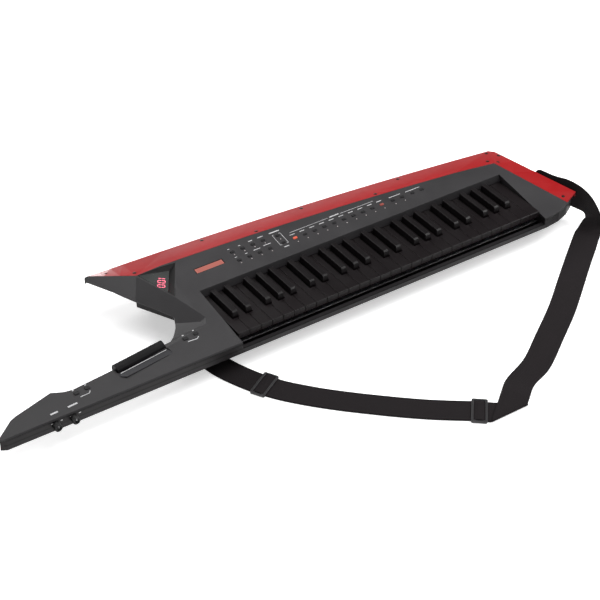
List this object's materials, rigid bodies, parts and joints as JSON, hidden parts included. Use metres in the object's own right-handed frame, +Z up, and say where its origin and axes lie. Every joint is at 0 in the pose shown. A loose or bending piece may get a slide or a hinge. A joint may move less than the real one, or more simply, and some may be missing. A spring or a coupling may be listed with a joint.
{
  "type": "keytar",
  "caption": "Shoulder-worn keyboard instrument with hinged keys, a control neck with touch strip, bar and knobs, a bevelled back cover, a lit panel and a webbing strap.",
  "frame": {"origin": "middle of the bounding box of the instrument without its strap, on the surface that its feet stand on", "axes": "+X along the keys from the neck tip to the high end, +Y from the player's side to the back edge, +Z up from the feet to the key tops"},
  "size_m": [1.2683, 0.6414, 0.0923],
  "materials": {
    "shell": "satin, fine grain",
    "underside": "textured moulding",
    "blade": "glossy lacquer",
    "white_key": "satin",
    "black_key": "gloss",
    "steel": "brushed",
    "board": "satin",
    "lcd": "lit screen",
    "smoked_pane": "smoked, polished",
    "digits": "lit segments",
    "touch_strip": "smooth film",
    "cells": "printed sleeve",
    "webbing": "woven webbing",
    "slider": "moulded",
    "button": "matt silicone",
    "bar": "satin",
    "knob": "knurled"
  },
  "bodies": {
    "case": {"top_case": "shell", "bottom_case": "underside", "edge_blade": "blade", "key_bed": "steel", "key_pivot_rod": "steel", "circuit_board": "board", "lcd_screen": "lcd", "display_window": "smoked_pane", "number_display": "digits", "ribbon_strip": "touch_strip", "battery_pack": "cells", "jack_panel": "underside", "strap_pin_right": "steel", "strap_pin_left": "steel", "shoulder_strap": "webbing", "strap_slider_1": "slider", "strap_slider_2": "slider"},
    "white_key_01": {"white_key_01": "white_key"},
    "white_key_02": {"white_key_02": "white_key"},
    "white_key_03": {"white_key_03": "white_key"},
    "white_key_04": {"white_key_04": "white_key"},
    "white_key_05": {"white_key_05": "white_key"},
    "white_key_06": {"white_key_06": "white_key"},
    "white_key_07": {"white_key_07": "white_key"},
    "white_key_08": {"white_key_08": "white_key"},
    "white_key_09": {"white_key_09": "white_key"},
    "white_key_10": {"white_key_10": "white_key"},
    "white_key_11": {"white_key_11": "white_key"},
    "white_key_12": {"white_key_12": "white_key"},
    "white_key_13": {"white_key_13": "white_key"},
    "white_key_14": {"white_key_14": "white_key"},
    "white_key_15": {"white_key_15": "white_key"},
    "white_key_16": {"white_key_16": "white_key"},
    "white_key_17": {"white_key_17": "white_key"},
    "white_key_18": {"white_key_18": "white_key"},
    "white_key_19": {"white_key_19": "white_key"},
    "white_key_20": {"white_key_20": "white_key"},
    "white_key_21": {"white_key_21": "white_key"},
    "white_key_22": {"white_key_22": "white_key"},
    "white_key_23": {"white_key_23": "white_key"},
    "white_key_24": {"white_key_24": "white_key"},
    "white_key_25": {"white_key_25": "white_key"},
    "white_key_26": {"white_key_26": "white_key"},
    "white_key_27": {"white_key_27": "white_key"},
    "white_key_28": {"white_key_28": "white_key"},
    "white_key_29": {"white_key_29": "white_key"},
    "black_keys_octave_1": {"black_keys_octave_1": "black_key"},
    "black_keys_octave_2": {"black_keys_octave_2": "black_key"},
    "black_keys_octave_3": {"black_keys_octave_3": "black_key"},
    "black_keys_octave_4": {"black_keys_octave_4": "black_key"},
    "menu_buttons": {"menu_buttons": "button"},
    "tone_buttons": {"tone_buttons": "button"},
    "octave_down_button": {"octave_down_button": "button"},
    "octave_up_button": {"octave_up_button": "button"},
    "hold_button": {"hold_button": "button"},
    "glide_button": {"glide_button": "button"},
    "modulation_bar": {"modulation_bar": "bar"},
    "assign_knob_1": {"assign_knob_1": "knob"},
    "assign_knob_2": {"assign_knob_2": "knob"},
    "battery_cover": {"battery_cover": "underside"}
  },
  "joints": [
    {"name": "white_key_01_hinge", "type": "hinge", "parent": "case", "child": "white_key_01", "pos_m": [-0.14775, 0.04291, 0.0525], "axis": [1, 0, 0], "range_deg": [0, 3.5], "stiffness_Nm_per_rad": 0.4, "springref_deg": -11.46},
    {"name": "white_key_02_hinge", "type": "hinge", "parent": "case", "child": "white_key_02", "pos_m": [-0.12425, 0.04291, 0.0525], "axis": [1, 0, 0], "range_deg": [0, 3.5], "stiffness_Nm_per_rad": 0.4, "springref_deg": -11.46},
    {"name": "white_key_03_hinge", "type": "hinge", "parent": "case", "child": "white_key_03", "pos_m": [-0.10075, 0.04291, 0.0525], "axis": [1, 0, 0], "range_deg": [0, 3.5], "stiffness_Nm_per_rad": 0.4, "springref_deg": -11.46},
    {"name": "white_key_04_hinge", "type": "hinge", "parent": "case", "child": "white_key_04", "pos_m": [-0.07725, 0.04291, 0.0525], "axis": [1, 0, 0], "range_deg": [0, 3.5], "stiffness_Nm_per_rad": 0.4, "springref_deg": -11.46},
    {"name": "white_key_05_hinge", "type": "hinge", "parent": "case", "child": "white_key_05", "pos_m": [-0.05375, 0.04291, 0.0525], "axis": [1, 0, 0], "range_deg": [0, 3.5], "stiffness_Nm_per_rad": 0.4, "springref_deg": -11.46},
    {"name": "white_key_06_hinge", "type": "hinge", "parent": "case", "child": "white_key_06", "pos_m": [-0.03025, 0.04291, 0.0525], "axis": [1, 0, 0], "range_deg": [0, 3.5], "stiffness_Nm_per_rad": 0.4, "springref_deg": -11.46},
    {"name": "white_key_07_hinge", "type": "hinge", "parent": "case", "child": "white_key_07", "pos_m": [-0.00675, 0.04291, 0.0525], "axis": [1, 0, 0], "range_deg": [0, 3.5], "stiffness_Nm_per_rad": 0.4, "springref_deg": -11.46},
    {"name": "white_key_08_hinge", "type": "hinge", "parent": "case", "child": "white_key_08", "pos_m": [0.01675, 0.04291, 0.0525], "axis": [1, 0, 0], "range_deg": [0, 3.5], "stiffness_Nm_per_rad": 0.4, "springref_deg": -11.46},
    {"name": "white_key_09_hinge", "type": "hinge", "parent": "case", "child": "white_key_09", "pos_m": [0.04025, 0.04291, 0.0525], "axis": [1, 0, 0], "range_deg": [0, 3.5], "stiffness_Nm_per_rad": 0.4, "springref_deg": -11.46},
    {"name": "white_key_10_hinge", "type": "hinge", "parent": "case", "child": "white_key_10", "pos_m": [0.06375, 0.04291, 0.0525], "axis": [1, 0, 0], "range_deg": [0, 3.5], "stiffness_Nm_per_rad": 0.4, "springref_deg": -11.46},
    {"name": "white_key_11_hinge", "type": "hinge", "parent": "case", "child": "white_key_11", "pos_m": [0.08725, 0.04291, 0.0525], "axis": [1, 0, 0], "range_deg": [0, 3.5], "stiffness_Nm_per_rad": 0.4, "springref_deg": -11.46},
    {"name": "white_key_12_hinge", "type": "hinge", "parent": "case", "child": "white_key_12", "pos_m": [0.11075, 0.04291, 0.0525], "axis": [1, 0, 0], "range_deg": [0, 3.5], "stiffness_Nm_per_rad": 0.4, "springref_deg": -11.46},
    {"name": "white_key_13_hinge", "type": "hinge", "parent": "case", "child": "white_key_13", "pos_m": [0.13425, 0.04291, 0.0525], "axis": [1, 0, 0], "range_deg": [0, 3.5], "stiffness_Nm_per_rad": 0.4, "springref_deg": -11.46},
    {"name": "white_key_14_hinge", "type": "hinge", "parent": "case", "child": "white_key_14", "pos_m": [0.15775, 0.04291, 0.0525], "axis": [1, 0, 0], "range_deg": [0, 3.5], "stiffness_Nm_per_rad": 0.4, "springref_deg": -11.46},
    {"name": "white_key_15_hinge", "type": "hinge", "parent": "case", "child": "white_key_15", "pos_m": [0.18125, 0.04291, 0.0525], "axis": [1, 0, 0], "range_deg": [0, 3.5], "stiffness_Nm_per_rad": 0.4, "springref_deg": -11.46},
    {"name": "white_key_16_hinge", "type": "hinge", "parent": "case", "child": "white_key_16", "pos_m": [0.20475, 0.04291, 0.0525], "axis": [1, 0, 0], "range_deg": [0, 3.5], "stiffness_Nm_per_rad": 0.4, "springref_deg": -11.46},
    {"name": "white_key_17_hinge", "type": "hinge", "parent": "case", "child": "white_key_17", "pos_m": [0.22825, 0.04291, 0.0525], "axis": [1, 0, 0], "range_deg": [0, 3.5], "stiffness_Nm_per_rad": 0.4, "springref_deg": -11.46},
    {"name": "white_key_18_hinge", "type": "hinge", "parent": "case", "child": "white_key_18", "pos_m": [0.25175, 0.04291, 0.0525], "axis": [1, 0, 0], "range_deg": [0, 3.5], "stiffness_Nm_per_rad": 0.4, "springref_deg": -11.46},
    {"name": "white_key_19_hinge", "type": "hinge", "parent": "case", "child": "white_key_19", "pos_m": [0.27525, 0.04291, 0.0525], "axis": [1, 0, 0], "range_deg": [0, 3.5], "stiffness_Nm_per_rad": 0.4, "springref_deg": -11.46},
    {"name": "white_key_20_hinge", "type": "hinge", "parent": "case", "child": "white_key_20", "pos_m": [0.29875, 0.04291, 0.0525], "axis": [1, 0, 0], "range_deg": [0, 3.5], "stiffness_Nm_per_rad": 0.4, "springref_deg": -11.46},
    {"name": "white_key_21_hinge", "type": "hinge", "parent": "case", "child": "white_key_21", "pos_m": [0.32225, 0.04291, 0.0525], "axis": [1, 0, 0], "range_deg": [0, 3.5], "stiffness_Nm_per_rad": 0.4, "springref_deg": -11.46},
    {"name": "white_key_22_hinge", "type": "hinge", "parent": "case", "child": "white_key_22", "pos_m": [0.34575, 0.04291, 0.0525], "axis": [1, 0, 0], "range_deg": [0, 3.5], "stiffness_Nm_per_rad": 0.4, "springref_deg": -11.46},
    {"name": "white_key_23_hinge", "type": "hinge", "parent": "case", "child": "white_key_23", "pos_m": [0.36925, 0.04291, 0.0525], "axis": [1, 0, 0], "range_deg": [0, 3.5], "stiffness_Nm_per_rad": 0.4, "springref_deg": -11.46},
    {"name": "white_key_24_hinge", "type": "hinge", "parent": "case", "child": "white_key_24", "pos_m": [0.39275, 0.04291, 0.0525], "axis": [1, 0, 0], "range_deg": [0, 3.5], "stiffness_Nm_per_rad": 0.4, "springref_deg": -11.46},
    {"name": "white_key_25_hinge", "type": "hinge", "parent": "case", "child": "white_key_25", "pos_m": [0.41625, 0.04291, 0.0525], "axis": [1, 0, 0], "range_deg": [0, 3.5], "stiffness_Nm_per_rad": 0.4, "springref_deg": -11.46},
    {"name": "white_key_26_hinge", "type": "hinge", "parent": "case", "child": "white_key_26", "pos_m": [0.43975, 0.04291, 0.0525], "axis": [1, 0, 0], "range_deg": [0, 3.5], "stiffness_Nm_per_rad": 0.4, "springref_deg": -11.46},
    {"name": "white_key_27_hinge", "type": "hinge", "parent": "case", "child": "white_key_27", "pos_m": [0.46325, 0.04291, 0.0525], "axis": [1, 0, 0], "range_deg": [0, 3.5], "stiffness_Nm_per_rad": 0.4, "springref_deg": -11.46},
    {"name": "white_key_28_hinge", "type": "hinge", "parent": "case", "child": "white_key_28", "pos_m": [0.48675, 0.04291, 0.0525], "axis": [1, 0, 0], "range_deg": [0, 3.5], "stiffness_Nm_per_rad": 0.4, "springref_deg": -11.46},
    {"name": "white_key_29_hinge", "type": "hinge", "parent": "case", "child": "white_key_29", "pos_m": [0.51025, 0.04291, 0.0525], "axis": [1, 0, 0], "range_deg": [0, 3.5], "stiffness_Nm_per_rad": 0.4, "springref_deg": -11.46},
    {"name": "black_keys_octave_1_hinge", "type": "hinge", "parent": "case", "child": "black_keys_octave_1", "pos_m": [-0.0773, 0.04291, 0.0525], "axis": [1, 0, 0], "range_deg": [0, 3.8], "stiffness_Nm_per_rad": 1.2, "springref_deg": -11.46},
    {"name": "black_keys_octave_2_hinge", "type": "hinge", "parent": "case", "child": "black_keys_octave_2", "pos_m": [0.0872, 0.04291, 0.0525], "axis": [1, 0, 0], "range_deg": [0, 3.8], "stiffness_Nm_per_rad": 1.2, "springref_deg": -11.46},
    {"name": "black_keys_octave_3_hinge", "type": "hinge", "parent": "case", "child": "black_keys_octave_3", "pos_m": [0.2517, 0.04291, 0.0525], "axis": [1, 0, 0], "range_deg": [0, 3.8], "stiffness_Nm_per_rad": 1.2, "springref_deg": -11.46},
    {"name": "black_keys_octave_4_hinge", "type": "hinge", "parent": "case", "child": "black_keys_octave_4", "pos_m": [0.4162, 0.04291, 0.0525], "axis": [1, 0, 0], "range_deg": [0, 3.8], "stiffness_Nm_per_rad": 1.2, "springref_deg": -11.46},
    {"name": "menu_buttons_press", "type": "slide", "parent": "case", "child": "menu_buttons", "axis": [0, 0.153, -0.9882], "range_m": [0, 0.001], "stiffness_N_per_m": 800, "springref_m": -0.003},
    {"name": "tone_buttons_press", "type": "slide", "parent": "case", "child": "tone_buttons", "axis": [0, 0.153, -0.9882], "range_m": [0, 0.001], "stiffness_N_per_m": 800, "springref_m": -0.003},
    {"name": "octave_down_button_press", "type": "slide", "parent": "case", "child": "octave_down_button", "axis": [0, 0.153, -0.9882], "range_m": [0, 0.001], "stiffness_N_per_m": 500, "springref_m": -0.002},
    {"name": "octave_up_button_press", "type": "slide", "parent": "case", "child": "octave_up_button", "axis": [0, 0.153, -0.9882], "range_m": [0, 0.001], "stiffness_N_per_m": 500, "springref_m": -0.002},
    {"name": "hold_button_press", "type": "slide", "parent": "case", "child": "hold_button", "axis": [0, 0.153, -0.9882], "range_m": [0, 0.001], "stiffness_N_per_m": 500, "springref_m": -0.002},
    {"name": "glide_button_press", "type": "slide", "parent": "case", "child": "glide_button", "axis": [0, 0.153, -0.9882], "range_m": [0, 0.001], "stiffness_N_per_m": 500, "springref_m": -0.002},
    {"name": "modulation_bar_hinge", "type": "hinge", "parent": "case", "child": "modulation_bar", "pos_m": [-0.33442, -0.08964, 0.05891], "axis": [-0.9919, -0.1271, 0], "range_deg": [0, 7], "stiffness_Nm_per_rad": 0.3, "springref_deg": -5.73},
    {"name": "assign_knob_1_turn", "type": "hinge", "parent": "case", "child": "assign_knob_1", "pos_m": [-0.5255, -0.13909, 0.046], "axis": [0, 1, 0], "range_deg": [-150, 150]},
    {"name": "assign_knob_2_turn", "type": "hinge", "parent": "case", "child": "assign_knob_2", "pos_m": [-0.4925, -0.13909, 0.046], "axis": [0, 1, 0], "range_deg": [-150, 150]},
    {"name": "battery_cover_pull", "type": "slide", "parent": "case", "child": "battery_cover", "axis": [0, 0, -1], "range_m": [0, 0.02]}
  ]
}
